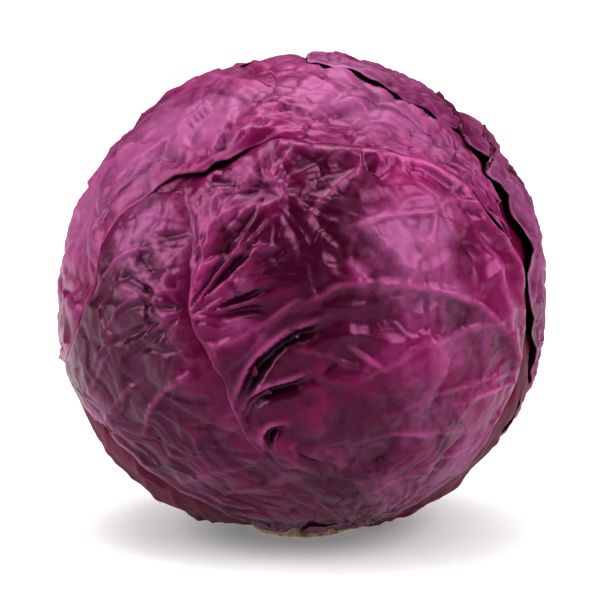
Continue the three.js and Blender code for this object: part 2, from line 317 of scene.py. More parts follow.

# Each leaf's own look. A spot is a direction, how many degrees it spreads over and how much it adds. Pale
# spots add the lilac as a painted highlight where the head is lit and deep spots take it away; the tones
# spots lighten and darken the flesh, partly as painted light and shade. A fan's folds run out from a
# pucker, and a pocket is a rolled fold with a deep slot beside it.
leafLooks = {
    "left_under_leaf": {
        "tone": 0.25, "bloomAndHighlight": 0.1, "level": -0.9, "panel": (26, 15), "panelHeight": 0.16,
        "crumple": 0.1, "feather": 7,
    },
    "right_under_leaf": {
        "tone": 0.45, "bloomAndHighlight": 0.16, "level": -0.9, "panel": (26, 15), "panelHeight": 0.14,
        "crumple": 0.08, "feather": 7,
    },
    "left_leaf": {
        "tone": 0.45, "bloomAndHighlight": 0.0, "panel": (20, 13), "panelHeight": 0.6, "crumple": 0.36,
        "pale": [((-40, 22), 11, 0.6), ((-68, 8), 14, 0.55), ((-60, -22), 12, 0.45),
                 ((-34, -42), 14, 0.35), ((-40, 8), 6, 0.3)],
        "deep": [((-44, -8), 18, 0.5), ((-30, 3), 7, 0.2)],
        "tones": [((-44, -8), 20, -0.9), ((-33, 6), 9, -0.3), ((-70, 0), 18, 0.3),
                  ((-30, -45), 20, -0.3)],
        "rough": [((-30, 10), 12, 1.6), ((-26, -5), 9, 1.4), ((-18, -26), 9, 0.8),
                  ((-45, -36), 22, -0.6)],
        "fans": [
            {"at": (-25, 4), "towards": 185, "spread": 60, "reach": 28, "height": 1.1, "folds": 11},
        ],
        "lines": {
            "vein": [
                [(-27, 17), (-36, 17), (-42, 16), (-47, 13), (-52, 8), (-57, 2), (-61, -5), (-66, -10)],
                [(-24, -9), (-27, -11), (-32, -14), (-36, -18), (-41, -25)],
            ],
            "fine": [
                [(-47, -6), (-53, -13), (-57, -17), (-63, -20)],
                [(-25, 1), (-33, 0), (-41, -1), (-49, -5), (-56, -13)],
                [(-28, 8), (-34, 7), (-42, 4), (-50, -3)],
                [(-28, 23), (-35, 24), (-42, 24), (-48, 21)],
                [(-12, -32), (-20, -33), (-29, -36), (-38, -40)],
                [(-60, 12), (-66, 4), (-72, -4), (-76, -12)],
                [(-38, -12), (-47, -18), (-55, -24)],
            ],
            "crease": [
                [(-27, 13), (-34, 12), (-41, 11), (-46, 8)],
                [(-26, 5), (-32, 4), (-38, 4), (-44, 2)],
                [(-24, -3), (-30, -5), (-37, -5), (-43, -8)],
                [(-27, 21), (-33, 20), (-39, 20)],
                [(-14, -24), (-20, -22), (-26, -22)],
                [(-11, -28), (-17, -28), (-24, -27)],
            ],
        },
    },
    "front_leaf": {
        "tone": 0.45, "bloomAndHighlight": 0.02, "panel": (22, 15), "panelHeight": 0.7, "crumple": 0.42,
        "gap": 0.45,
        "pale": [((-17, 30), 9, 0.55), ((25, 19), 10, 0.95), ((40, 24), 9, 0.6), ((38, -3), 12, 0.6),
                 ((14, 34), 5, 0.2), ((46, -30), 16, 0.38), ((20, -46), 16, 0.3), ((-12, 8), 6, 0.35),
                 ((50, -44), 10, 0.35), ((28, -18), 9, 0.25)],
        "deep": [((-1, 15), 11, 0.5), ((8, 34), 7, 0.35), ((50, 8), 7, 0.35), ((-2, -4), 9, 0.2),
                 ((8, 0), 7, 0.3)],
        "tones": [((-3, 16), 13, -0.8), ((7, 33), 8, -0.5), ((-8, -4), 10, -0.5), ((8, 0), 9, -0.3),
                  ((0, -36), 24, -0.35), ((30, 34), 9, 0.4), ((50, 8), 10, 0.5), ((28, 18), 12, 0.25),
                  ((30, -6), 8, 0.3), ((42, -32), 14, -0.1), ((56, -20), 8, 0.3)],
        "rough": [((-17, 20), 13, 1.9), ((-12, -1), 9, 1.5), ((6, -24), 9, 1.0), ((8, 33), 8, 0.6),
                  ((32, -36), 28, -0.75), ((28, 20), 10, -0.4)],
        "dents": [((-2, 17), 9, -1.1), ((-16, 31), 8, 0.7), ((-14, 18), 6, -0.6), ((9, 33), 6, -0.8),
                  ((26, 18), 9, 0.7), ((0, 6), 7, -0.5), ((35, -20), 16, 0.5), ((-14, -4), 5, 0.4),
                  ((5, -14), 6, -0.5)],
        "fans": [
            {"at": (-26, 2), "towards": 38, "spread": 50, "reach": 34, "height": 1.7, "folds": 17},
            {"at": (-8, 31), "towards": 200, "spread": 180, "reach": 20, "height": 0.8, "folds": 9},
        ],
        "pockets": [
            {"depth": 3.0, "wide": 2.2, "line": [(5, 3), (1, 1.5), (-3, 0), (-7, -3), (-11, -7),
                                                 (-14, -13), (-16, -18)]},
            {"depth": 2.8, "wide": 1.8, "line": [(1, -9), (-3, -10.5), (-8, -12), (-12, -15),
                                                 (-14, -19)]},
            {"depth": 2.4, "wide": 1.5, "line": [(-4, -20), (-7, -21), (-9, -23), (-9, -26)]},
        ],
        "lines": {
            "crest": crest["lines"],
            "fold": [[(-2, 5), (4, 8), (8, 10), (16, 10), (25, 9), (33, 7), (41, 4), (45, 1), (50, -3),
                      (54, -6), (57, -10)]],
            "vein": [
                [(22, 40), (11, 34), (5, 29), (1, 24)],
                [(46, 26), (42, 27), (37, 27), (32, 25), (25, 25), (18, 24), (13, 22), (11, 20),
                 (10, 15)],
                [(33, 25), (30, 19), (26, 15), (23, 10)],
                [(14, -10), (22, -6), (25, -4), (30, -3), (41, -1), (49, 0)],
                [(24, -18), (32, -15), (38, -14), (45, -13), (54, -13), (58, -12)],
                [(-20, -3), (-18, -3), (-13, -1), (-10, 1), (-7, 2), (0, 7)],
                [(-2, 42), (-5, 38), (-8, 34), (-5, 30), (-4, 27)],
                [(-5, 29), (-9, 27), (-13, 26), (-16, 25), (-19, 22), (-21, 18)],
                [(-24, 11), (-21, 14), (-17, 16), (-12, 17), (-6, 18)],
            ],
            "glint": [
                [(37, -18), (49, -16), (60, -15)],
                [(21, -24), (26, -24), (31, -25)],
                [(10, -3), (14, -6), (19, -9)],
                [(36, -33), (42, -32), (49, -31)],
                [(-1, 7), (-4, 5), (-8, 2)],
            ],
            "fine": [
                [(10, -26), (22, -24), (29, -24), (40, -25), (50, -27)],
                [(20, -40), (30, -37), (42, -36), (52, -38)],
                [(-4, -3), (6, -5), (9, -7), (13, -8), (15, -10)],
                [(-16, -8), (-11, -4), (-7, 1), (-4, 5)],
                [(-24, 33), (-20, 29), (-19, 26), (-19, 22)],
                [(-12, 38), (-14, 33), (-16, 29), (-19, 26)],
            ],
            "crease": [[(-24, 8), (-18, 11), (-10, 12), (-2, 13)]],
        },
    },
    "top_leaf": {
        "tone": 0.75, "bloomAndHighlight": 0.34, "panel": (12, 26), "panelHeight": 1.05, "crumple": 0.2,
        "feather": 8, "gap": 0.12,
        "pale": [((-50, 45), 18, 0.5), ((-72, 25), 18, 0.5), ((20, 62), 20, 0.2), ((36, 46), 12, 0.45),
                 ((50, 30), 8, 0.3)],
        "rough": [((-30, 50), 14, 0.6)],
        "gaps": [((-37, 34), 5, 0.7), ((-30, 35), 5, 1.1), ((-24, 37), 5, 1.4), ((-18, 40), 5, 1.1)],
        "flush": [((-11, 46), 6), ((-2, 44), 8), ((12, 42), 9), ((26, 40), 9), ((40, 33), 9),
                  ((52, 23), 9)],
        "lines": {
            "vein": [
                [(-42, 74), (-46, 64), (-41, 53), (-46, 46), (-52, 40), (-57, 36), (-59, 31), (-66, 26),
                 (-69, 21), (-67, 13), (-64, 7)],
                [(-41, 53), (-39, 50), (-39, 41)],
                [(-54, 52), (-62, 44), (-70, 36), (-78, 26), (-82, 14)],
            ],
            "fine": [
                [(-48, 65), (-33, 65), (-18, 63), (-3, 61), (5, 59), (16, 57)],
                [(-36, 56), (-25, 51), (-16, 50), (-8, 49), (1, 48), (7, 48), (9, 51), (18, 54),
                 (30, 52)],
                [(-46, 46), (-52, 33), (-58, 24), (-61, 14), (-60, 4)],
                [(-58, 62), (-72, 52), (-84, 40), (-92, 24)],
                [(-30, 44), (-37, 47), (-43, 51)],
                [(-14, 50), (-20, 55), (-30, 60)],
                [(4, 48), (2, 54), (-3, 61)],
            ],
            "crease": [
                [(16, 57), (28, 55), (37, 50), (44, 43), (50, 36)],
                [(-44, 40), (-50, 34), (-56, 27), (-58, 20)],
                [(-40, 60), (-25, 57), (-10, 56), (4, 54)],
            ],
        },
    },
    "back_leaf": {
        "tone": 0.6, "bloomAndHighlight": 0.34, "panel": (19, 14), "panelHeight": 0.8, "crumple": 0.4, "feather": 9,
        "lifts": [((-130, 76), 22, 1.2), ((-119, 20), 25, 0.5)],
    },
    "ruffled_leaf": {
        "tone": 0.5, "bloomAndHighlight": 0.42, "level": 0.2, "panel": (13, 10), "panelHeight": 0.75,
        "crumple": 0.8, "feather": 9, "gap": 0.55, "ruffle": 0.5, "pleats": 0.55,
        "lifts": [((64, 18), 20, 0.4), ((40, 64), 20, 0.2), ((170, 20), 40, 0.5)],
        "lines": {
            "vein": [[(14, 78), (30, 72), (45, 64), (58, 54), (67, 43), (71, 30), (71, 18), (69, 6),
                      (73, -6), (80, -18)]],
            "fine": [
                [(34, 74), (52, 66), (66, 55), (75, 42), (78, 28), (78, 12), (78, -2), (84, -16)],
                [(56, 72), (72, 62), (84, 48), (88, 30), (88, 10), (92, -10)],
            ],
            "crease": [[(24, 75), (40, 68), (54, 58), (64, 47), (68, 36), (67, 24)]],
        },
    },
    "leaf_stub": {
        "tone": 0.6, "bloomAndHighlight": 0.7, "level": 0.9, "panel": (8, 5), "panelHeight": 0.35, "crumple": 0.35,
        "ruffle": 0.6,
    },
}


def falloff(distance, width):
    return np.exp(-((distance / width) ** 2))


def arch(share, ends, power):  # 0 near both ends of a line and 1 in its middle
    return np.sin(np.clip(share, ends, 1 - ends) * math.pi) ** power


def ridges(points, channel, sharpness=2.2):  # 1 along thin crests, falling away to both sides
    return 1 - sharpness * np.abs(softNoise(points, channel))


def wandered(place, size, reach, offset, channels=(0, 1, 2)):
    return reach * np.stack([softNoise(place / size + offset, channel) for channel in channels], 1)


def spot(dirs, at, spread):  # 1 at a direction, falling off over so many degrees
    arc = np.degrees(np.arccos(np.clip(dirs @ directions([at])[0], -1, 1)))
    return falloff(arc, spread)


def spots(dirs, look, key):  # the sum of a leaf's spots of one kind
    total = np.zeros(len(dirs))
    for at, spread, amount in look.get(key, []):
        total += amount * spot(dirs, at, spread)
    return total


# Side veins: where the first and last leave the midrib, how far they sweep on and how wide they reach.
feathering = {"first": 0.06, "last": 0.8, "lowSweep": 0.5, "sweep": 0.34, "reach": 0.46, "bow": 0.04}


def featherVeins(plan, count):  # a midrib with side veins that leave it and sweep towards the tip
    along = np.linspace(0.0, 0.97, 60)
    bow = 0.5 + feathering["bow"] * np.sin(along * 5)
    lines = [("rib", onLeaf(plan, along, bow))]
    for index in range(count):
        start = feathering["first"] + feathering["last"] * index / count
        furthest = feathering["lowSweep"] if start < 0.3 else feathering["sweep"]
        for side in (-1, 1):
            reach = np.linspace(0, 1, 24)
            sweep = start + furthest * reach**1.3 * (1 - 0.35 * start)
            across = 0.5 + side * (feathering["reach"] * reach + 0.02 * np.sin(reach * 9 + index * 2.0))
            lines.append(("branch", onLeaf(plan, np.clip(sweep + 0.03 * side, 0, 1), across)))
    return lines


def fanFolds(dirs, fan):  # folds that run out from a pucker
    flat = flatMap(dirs, directions([fan["at"]])[0])
    away = np.linalg.norm(flat, axis=1)
    turned = (np.degrees(np.arctan2(flat[:, 1], flat[:, 0])) - fan["towards"] + 180) % 360 - 180
    within = np.exp(-((turned / fan["spread"]) ** 4)) * smoothstep(away, 0.8, 3.5)
    within *= 1 - smoothstep(away, 0.5 * fan["reach"], fan["reach"])
    round360 = turned / 360 * fan["folds"] * 4
    return fan["height"] * within * ridges(np.stack([round360, away / 14, away * 0 + 3.5], 1), 0)


def rightOf(dirs, line, share):  # 1 on the right of a line for someone going along it, else 0
    nearest = np.clip((share * (len(line) - 1)).astype(int), 0, len(line) - 2)
    edge = line[nearest + 1] - line[nearest]
    return ((np.cross(edge, dirs - line[nearest]) * dirs).sum(1) < 0).astype(float)


# A fold pocket's parts: how far each lies from the fold and how wide it is, both in pocket widths, and
# its height in millimetres.
pocketParts = {
    "slot": {"away": 0.9, "width": 1.0},
    "farLip": {"away": 2.6, "width": 0.7, "height": 0.5},
    "lip": {"away": 0.0, "width": 1.8, "height": 0.7},
    "rim": {"away": 0.5, "width": 0.9, "pale": 0.5},  # the rim's are in millimetres
}


def pocketShape(dirs, pocket):  # a fold's rolled lip on one side of its line and a deep slot on the other
    line = lineThrough(pocket["line"], 40)
    distance, share = distanceTo(dirs, line)
    slotSide = rightOf(dirs, line, share) < 0.5
    fade = arch(share, 0.02, 0.6)
    wide = pocket["wide"]
    slot, farLip, lip = (
        falloff(distance - pocketParts[part]["away"] * wide, pocketParts[part]["width"] * wide) * fade
        for part in ("slot", "farLip", "lip")
    )
    slot *= slotSide * smoothstep(distance, 0, 1.1)
    relief = pocketParts["lip"]["height"] * lip * ~slotSide
    relief += pocketParts["farLip"]["height"] * farLip * slotSide - pocket["depth"] * slot
    rim = pocketParts["rim"]
    return relief, slot, rim["pale"] * falloff(distance - rim["away"], rim["width"]) * fade * ~slotSide


# Swells and long folds of the whole head: wave sizes and heights in millimetres.
headFolds = {
    "swellSize": 26, "swell": 0.9, "foldSize": [15, 15, 10], "fold": 0.55, "foldSharpness": 2.4,
    "wanderSize": 14, "wander": 5,
}


def headRelief(dirs, place):  # what all the leaves share, because each lies close over the one below
    shared = headFolds["swell"] * layeredNoise(place / headFolds["swellSize"] + 1.3, 2, 1)
    bent = place + wandered(place, headFolds["wanderSize"], headFolds["wander"], 4.1)
    shared += headFolds["fold"] * ridges(bent / headFolds["foldSize"], 2, headFolds["foldSharpness"])
    for points in crest["lines"]:
        distance, share = distanceTo(dirs, lineThrough(points, 12 * len(points)))
        shared += crest["height"] * arch(share, 0.03, 0.5) * falloff(distance, crest["width"])
    return shared


# How every blade is worked, in millimetres over the head. A leaf's own look scales the heights.
blade = {
    "perDegree": 1.3,  # millimetres over the head to a degree
    "wanderSize": 11, "wander": 5,  # how the panels' outlines wander
    "panelDome": 0.8, "panelStep": 0.3, "panelTilt": 1.8,
    "smallPanels": 2.3, "smallShare": 0.28, "smallDome": 0.6,  # panels within the panels
    "bendSize": 6, "bend": 3,
    "ridgeSize": [12, 12, 8], "fineSize": [5, 5, 3.5], "tinySize": [3.2, 3.2, 2.2],
    "fine": 0.10, "puckeredFine": 0.30, "puckeredTiny": 0.12, "puckerFrom": 1.3,
    "brokenSize": 6, "broken": 0.25,  # a vein comes and goes along its length
    "marginRest": 3.2,  # the relief dies out over this much of the margin
    "liftReach": 7, "pleatSize": 7, "pleatReach": 11, "ruffleSize": 7, "ruffleReach": 5,
    "usualGap": 0.3, "liftGap": 1.2, "gapReach": 4.5, "pressed": 1.6,  # where another leaf lies on it
}

# How its colour follows its shape: what tone and the lilac coat take from the folds, panels and drifts.
# From the relief they take painted light and shade, lighter on crests and on one side of each small panel
# and darker in furrows and below a fold; the drifts and each panel's own share are random.
bladePaint = {
    "driftSize": 17, "drift": 0.28, "bloomPanel": 0.22, "bloomSmallPanel": 0.12, "bloomFurrow": 0.34,
    "shadeSize": 21, "shade": 0.25, "toneRelief": 0.12, "toneFurrow": 0.38,
    "crumpleFurrow": 1.1, "panelFurrow": 0.35, "fanFurrow": 0.9, "foldShade": 0.3,
    # On this line, the first three set the patches, least strength and width of the painted highlight along
    # the margin.
    "rimHighlightSize": 13, "rimHighlightLeast": 0.25, "rimHighlightWidth": 0.55, "thinWidth": 0.9,
}


def shapeLeaf(name, along, across):
    plan, look = leafPlans[name], leafLooks[name]
    dirs = onLeaf(plan, along, across)
    place = dirs * headShape["depthRadius"]
    margin = -pastOutline(dirs, plan) * blade["perDegree"]  # millimetres in from the leaf's own margin
    masks = {"vein": np.zeros(len(dirs)), "paintedShade": np.zeros(len(dirs))}
    order = stackOrder.index(name)

    # Crumpled panels between the veins, long the way the leaf grows.
    warp = wandered(place, blade["wanderSize"], blade["wander"], 0, (0, 1))
    flat = (np.stack([along * plan["length"], across * plan["width"]], 1) + warp) / look["panel"]
    crease, own, tilt = panels(flat, order)
    domed = blade["panelDome"] * smoothstep(crease, 0, 0.7)
    relief = look["panelHeight"] * (domed + blade["panelStep"] * own + blade["panelTilt"] * tilt)
    crease, smallOwn, smallTilt = panels(flat * blade["smallPanels"] + 5.2, order + 9)
    smallRise = smoothstep(crease, 0, 0.7)
    domed = blade["smallDome"] * smallRise + blade["panelTilt"] * smallTilt
    relief += blade["smallShare"] * look["panelHeight"] * domed

    # Folds and wrinkles, tightest where the blade is puckered.
    bent = place + wandered(place, blade["bendSize"], blade["bend"], 2.7)
    ridged = ridges(bent / blade["ridgeSize"] + 3.1, 0)
    fine = ridges(bent / blade["fineSize"] + 8.4, 1)
    tiny = ridges(bent / blade["tinySize"] + 1.4, 2)
    rough = 1.0 + spots(dirs, look, "rough")
    puckered = np.clip(rough - blade["puckerFrom"], 0, 1.5)
    tight = blade["puckeredFine"] * fine + blade["puckeredTiny"] * tiny
    crumple = look["crumple"] * ((ridged - 0.5) * rough**0.5 + blade["fine"] * fine + puckered * tight)
    relief += crumple
    # Painted light and shade: this is high on crests and on one side of each small panel and low in
    # furrows, and lightens and darkens the colour further down.
    reliefShading = bladePaint["panelFurrow"] * look["panelHeight"] * (smallRise - 0.8 + 2.4 * smallTilt)
    reliefShading += bladePaint["crumpleFurrow"] * crumple

    # Veins stand out and show pale; glint lines are painted highlights and creases are painted dark as
    # painted shade.
    lines = []
    for kind, drawn in look.get("lines", {}).items():
        lines += [(kind, lineThrough(points, 14 * len(points))) for points in drawn]
    lines += featherVeins(plan, look["feather"]) if "feather" in look else []
    broken = 1 - blade["broken"] + blade["broken"] * softNoise(place / blade["brokenSize"] + 1.7, 1)
    foldShade = np.zeros(len(dirs))
    for kind, line in lines:
        vein = veinKinds[kind]
        distance, share = distanceTo(dirs, line)
        taper = 1 - 0.65 * share if kind in ("rib", "branch") else arch(share, 0.04, 0.4)
        relief += vein["height"] * taper * broken * falloff(distance, vein["width"] * (0.5 + 0.5 * taper))
        if "drop" in vein:  # the blade falls away on the right of the line, then comes back up
            fallen = rightOf(dirs, line, share) * taper * falloff(distance, vein["reach"])
            relief -= vein["drop"] * fallen * smoothstep(distance, 0, 2.0)
            # Painted shade on the blade where it falls away beside the fold.
            foldShade += bladePaint["foldShade"] * fallen
        pale = vein["pale"] * taper * broken * falloff(distance, vein["paleWidth"])
        masks["vein"] = np.where(np.abs(pale) > np.abs(masks["vein"]), pale, masks["vein"])

    for fan in look.get("fans", []):
        folded = fanFolds(dirs, fan)
        relief += folded
        reliefShading += bladePaint["fanFurrow"] * folded
    relief += spots(dirs, look, "dents")
    for pocket in look.get("pockets", []):
        fold, slot, rim = pocketShape(dirs, pocket)
        relief += fold
        # The slot is also painted dark in colour: a painted shadow in it.
        masks["paintedShade"] = np.maximum(masks["paintedShade"], slot)
        masks["vein"] = np.maximum(masks["vein"], rim)

    # The relief dies out at the margin, where the blade lies on its neighbour, lifts off or ruffles.
    pastBase = smoothstep(along, 0.1, 0.3)
    relief *= smoothstep(margin, -0.5, blade["marginRest"])
    relief += spots(dirs, look, "lifts") * falloff(margin, blade["liftReach"])
    if "pleats" in look:  # short folds that run in from the margin
        step = along * plan["length"] / blade["pleatSize"] + 1.5 * softNoise(place / 16 + 2.4)
        pleat = ridges(np.stack([step, across * 2, step * 0 + 0.5], 1), 1)
        relief += look["pleats"] * pleat * falloff(margin, blade["pleatReach"]) * pastBase
    if "ruffle" in look:
        wave = layeredNoise(place / blade["ruffleSize"] + 9.1, 2) + 0.4
        relief += look["ruffle"] * wave * falloff(margin, blade["ruffleReach"]) * pastBase

    # It sinks where later leaves cover it.
    sink = np.zeros(len(dirs))
    shown = np.ones(len(dirs))
    for above in stackOrder[order + 1:]:
        past, over = pastOutline(dirs, leafPlans[above]), leafLooks[above]
        gap = over.get("gap", blade["usualGap"]) + spots(dirs, over, "gaps")
        gap += blade["liftGap"] * spots(dirs, over, "lifts")
        sink += gap * (1 - smoothstep(past, 0, blade["gapReach"]))
        sink += blade["pressed"] * (1 - smoothstep(past, -5, 0.2))
        shown *= smoothstep(past, -1.0, 2.6)
        # A painted shadow darkens this blade at and beside the edges of the leaves above, stronger where
        # the gap under them is wider and less where they lie flush.
        shadow = np.clip(gap / 2.2, 0.12, 1) * (1 - smoothstep(past, -0.5, 0.6 + np.clip(gap, 0, 1.5)))
        for at, spread in over.get("flush", []):
            shadow *= 1 - spot(dirs, at, spread)
        masks["paintedShade"] = np.maximum(masks["paintedShade"], shadow)
    radius = headRadius(dirs) + headRelief(dirs, place) + look.get("level", 0) + relief * shown - sink

    mix = bladePaint
    bloomAndHighlight = look["bloomAndHighlight"] + mix["drift"] * layeredNoise(place / mix["driftSize"] + 2.2, 3, 2)
    bloomAndHighlight += mix["bloomPanel"] * own + mix["bloomSmallPanel"] * smallOwn
    # Pale spots add the lilac as a painted highlight where the head is lit; deep spots take it away where
    # it is dark.
    bloomAndHighlight += spots(dirs, look, "pale") - spots(dirs, look, "deep")
    # Painted light and shade: more of the lilac on crests, less in furrows.
    bloomAndHighlight += mix["bloomFurrow"] * np.clip(reliefShading, -0.8, 0.9) * shown
    tone = look["tone"] + mix["shade"] * layeredNoise(place / mix["shadeSize"] + 6.4, 3)
    # Painted light and shade: tone rises with the relief and on crests, and falls in furrows.
    tone += (mix["toneRelief"] * relief + mix["toneFurrow"] * np.clip(reliefShading, -1, 1)) * shown
    # The tones spots are partly painted shade, darker at the middle and low down, and partly painted light
    # on lit panels; the fold's painted shade is taken off too.
    tone += spots(dirs, look, "tones") - foldShade
    # A painted highlight runs along the margin, broken into patches and taken off where the margin lies
    # flush.
    rimHighlight = smoothstep(softNoise(place / mix["rimHighlightSize"] + 5.5, 2), -0.5, 0.4)
    rimHighlight = mix["rimHighlightLeast"] + (1 - mix["rimHighlightLeast"]) * rimHighlight
    for at, spread in look.get("flush", []):
        rimHighlight *= 1 - spot(dirs, at, spread)
    masks["bloomAndHighlight"], masks["tone"] = np.clip(bloomAndHighlight, 0, 1), np.clip(tone, 0, 1)
    masks["edge"] = rimHighlight * falloff(margin, mix["rimHighlightWidth"])
    masks["thin"] = falloff(margin, mix["thinWidth"])
    return dirs, radius, masks


# What every leaf is made to, in millimetres.
leafMake = {
    "cell": 0.56,  # size of a mesh cell on the blade
    "thickness": 0.75,
    "marginThickness": 0.5,  # share of it left at the margin
    "mostCells": 46000, "fewest": 8,  # cells in all, and along each side
}


def keepInBox(points):  # eases the outermost bumps back under the part's own box
    room = headShape["easeOver"]
    low, high = (np.array(corner) / mm for corner in cadBox)
    high, low = high - headShape["keepInside"] - room, low + headShape["keepInside"] + room
    points = np.where(points > high, high + room * np.tanh((points - high) / room), points)
    eased = np.where(points < low, low - room * np.tanh((low - points) / room), points)
    # The underside keeps its shape.
    eased[:, 2] = np.where(points[:, 2] < low[2], points[:, 2], eased[:, 2])
    return eased


def fillMesh(piece, points):
    piece.data.vertices.foreach_set("co", (points * mm).ravel())
    piece.data.update()


def paint(piece, masks):
    for mask, values in masks.items():
        layer = piece.data.attributes.new(mask, "FLOAT", "POINT")
        layer.data.foreach_set("value", values.astype(np.float32))


def addPrimitive(operator, name, **settings):
    bpy.ops.object.select_all(action="DESELECT")
    operator(**settings)
    piece = bpy.context.object
    piece.name = piece.data.name = name
    return piece


def vertexPlaces(piece):
    places = np.empty(len(piece.data.vertices) * 3)
    piece.data.vertices.foreach_get("co", places)
    return places.reshape(-1, 3)


def makeLeaf(name, pieceName):
    plan = leafPlans[name]
    cells = np.array([plan["width"], plan["length"]]) / leafMake["cell"]
    cells *= min(1, math.sqrt(leafMake["mostCells"] / (cells[0] * cells[1])))
    across, along = (max(leafMake["fewest"], int(count)) for count in cells)
    leaf = addPrimitive(bpy.ops.mesh.primitive_grid_add, pieceName, size=1,
                        x_subdivisions=across, y_subdivisions=along)
    grid = np.clip(vertexPlaces(leaf) + 0.5, 0, 1)
    dirs, radius, masks = shapeLeaf(name, grid[:, 1], grid[:, 0])
    points = dirs * radius[:, None] + [0, 0, headShape["centreHeight"]]
    fillMesh(leaf, keepInBox(points))

    margin = leaf.vertex_groups.new(name="thickness")
    thick = leafMake["marginThickness"] + (1 - leafMake["marginThickness"]) * (1 - masks.pop("thin"))
    for step in range(1, 11):  # in tenths
        chosen = np.flatnonzero(np.round(thick * 10).astype(int) == step)
        if len(chosen):
            margin.add(chosen.tolist(), step / 10, "REPLACE")
    wall = leaf.modifiers.new("wall", "SOLIDIFY")
    wall.thickness = leafMake["thickness"] * mm
    wall.offset = -1
    wall.vertex_group = "thickness"
    bpy.ops.object.modifier_apply(modifier="wall")
    masks = {mask: np.tile(values, 2) for mask, values in masks.items()}
    masks["inside"] = np.repeat([0.0, 1.0], len(grid))
    paint(leaf, masks)
    leaf.vertex_groups.clear()
    bpy.ops.object.shade_smooth()
    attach(leaf, "root")
    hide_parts(name)
    print("leaf", pieceName, len(leaf.data.polygons), "faces")
    return leaf


for seed, plan in enumerate(leafPlans.values()):
    prepareLeaf(plan, seed)
leaves = {}
pieceNames = {
    "left_under_leaf": "leftUnderLeaf",
    "right_under_leaf": "rightUnderLeaf",
    "left_leaf": "leftLeaf",
    "front_leaf": "frontLeaf",
    "top_leaf": "topLeaf",
    "back_leaf": "backLeaf",
    "ruffled_leaf": "ruffledLeaf",
    "leaf_stub": "leafStub",
}
for nodeName, pieceName in pieceNames.items():
    leaves[nodeName] = makeLeaf(nodeName, pieceName)


# Inner head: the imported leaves, seen only deep in the gaps.
innerLook = {
    "subdivisions": 7, "swellSize": 16, "swell": 0.5, "crumpleSize": 9, "crumple": 0.3,
    # Its low tone and the near-black share are painted shade, as it is seen only deep in the gaps.
    "masks": {"tone": 0.15, "bloomAndHighlight": 0.15, "vein": 0, "paintedShade": 0.45, "edge": 0, "inside": 0},
}

innerHead = addPrimitive(bpy.ops.mesh.primitive_ico_sphere_add, "innerHead",
                         subdivisions=innerLook["subdivisions"], radius=1)
innerDirs = unit(vertexPlaces(innerHead))
innerPlace = innerDirs * headShape["depthRadius"]
innerFolds = layeredNoise(innerPlace / innerLook["crumpleSize"], 3)
innerRelief = innerLook["crumple"] * (1 - 2 * np.abs(innerFolds))
innerRelief += innerLook["swell"] * layeredNoise(innerPlace / innerLook["swellSize"], 2, 1)
innerRadius = headRadius(innerDirs) - headShape["innerDrop"] + innerRelief
fillMesh(innerHead, innerDirs * innerRadius[:, None] + [0, 0, headShape["centreHeight"]])
paint(innerHead, {mask: np.full(len(innerDirs), value) for mask, value in innerLook["masks"].items()})
bpy.ops.object.shade_smooth()
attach(innerHead, "root")
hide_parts("inner_head")
print("inner head done")


# Stem: a fibrous stub sawn level, its face inset in rings and pitted; the real skin round the woody ring
# and the paler pith are not told apart here.
stemLook = {
    "faceRadius": 15.8, "neckRadius": 17.1, "height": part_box("stem")[1][2] / mm,
    "rounding": 0.6, "segments": 160, "cuts": 14, "rings": 8, "ringsAcross": 9.5,
    "fibreSize": 6, "fibresRound": 7, "ridge": 0.55, "fineRidge": 0.25,
    "pitSize": 2.4, "pit": 0.18,  # the sawn face is pitted
}

stem = addPrimitive(bpy.ops.mesh.primitive_cylinder_add, "stem", vertices=stemLook["segments"],
                    radius=stemLook["faceRadius"] * mm, depth=stemLook["height"] * mm,
                    location=(0, 0, stemLook["height"] * mm / 2))
bpy.ops.object.transform_apply(location=True, rotation=True, scale=True)
stemEdges = stem.modifiers.new("edges", "BEVEL")
stemEdges.width = stemLook["rounding"] * mm
stemEdges.segments = 3
stemEdges.limit_method = "ANGLE"
bpy.ops.object.modifier_apply(modifier="edges")
bpy.ops.object.mode_set(mode="EDIT")
bpy.ops.mesh.select_all(action="DESELECT")
bpy.ops.object.mode_set(mode="OBJECT")
for face in stem.data.polygons:
    face.select = abs(face.normal.z) > 0.99
bpy.ops.object.mode_set(mode="EDIT")
bpy.ops.mesh.select_mode(type="FACE")
for ring in range(stemLook["rings"]):
    bpy.ops.mesh.inset(thickness=stemLook["faceRadius"] / stemLook["ringsAcross"] * mm, use_individual=True)
bpy.ops.mesh.select_all(action="DESELECT")
bpy.ops.object.mode_set(mode="OBJECT")
for edge in stem.data.edges:
    ends = [stem.data.vertices[index].co.z for index in edge.vertices]
    edge.select = abs(ends[0] - ends[1]) > 0.5 * stemLook["height"] * mm
bpy.ops.object.mode_set(mode="EDIT")
bpy.ops.mesh.select_mode(type="EDGE")
bpy.ops.mesh.subdivide(number_cuts=stemLook["cuts"])
bpy.ops.object.mode_set(mode="OBJECT")
stemPoints = vertexPlaces(stem) / mm
stemAngle = np.arctan2(stemPoints[:, 1], stemPoints[:, 0])
stemOut = np.hypot(stemPoints[:, 0], stemPoints[:, 1])
stemRise = stemPoints[:, 2] / stemLook["height"]
onRound = np.stack([np.cos(stemAngle), np.sin(stemAngle)], 1) * stemLook["fibresRound"]
around = np.column_stack([onRound, stemPoints[:, 2] / stemLook["fibreSize"]])
fibre = stemLook["ridge"] * layeredNoise(around, 3)
fibre += stemLook["fineRidge"] * layeredNoise(around * 3 + 4, 2)
atSide = smoothstep(stemOut, 0.75 * stemLook["faceRadius"], 0.97 * stemLook["faceRadius"])
widest = stemLook["neckRadius"] / stemLook["faceRadius"]
flare = 1 + (widest - 1) * stemRise
